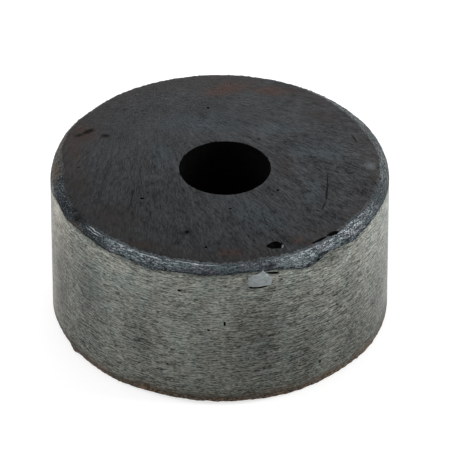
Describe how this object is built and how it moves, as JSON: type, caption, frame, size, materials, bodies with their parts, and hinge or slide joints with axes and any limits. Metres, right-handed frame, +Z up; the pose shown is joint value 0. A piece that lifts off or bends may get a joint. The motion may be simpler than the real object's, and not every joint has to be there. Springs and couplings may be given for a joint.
{
  "type": "center pole magnet",
  "caption": "Cast disc magnet, ground on its wall and flat ends, with a cored through hole and rough rounded rims, used as the centre pole of a magnetic assembly.",
  "frame": {"origin": "centre of the lower flat end, on the axis of the ground outer wall", "axes": "+Z up along the wall's axis, out of the upper end; -Y is the side with the raised flake and the blowhole; +X is to the right seen from that side"},
  "size_m": [0.03, 0.03, 0.0148],
  "materials": {
    "cast_magnet": "ground wall and ends with rough cast rims, dark grey with brown rust tints"
  },
  "bodies": {
    "root": {"pole_magnet": "cast_magnet"}
  },
  "joints": []
}
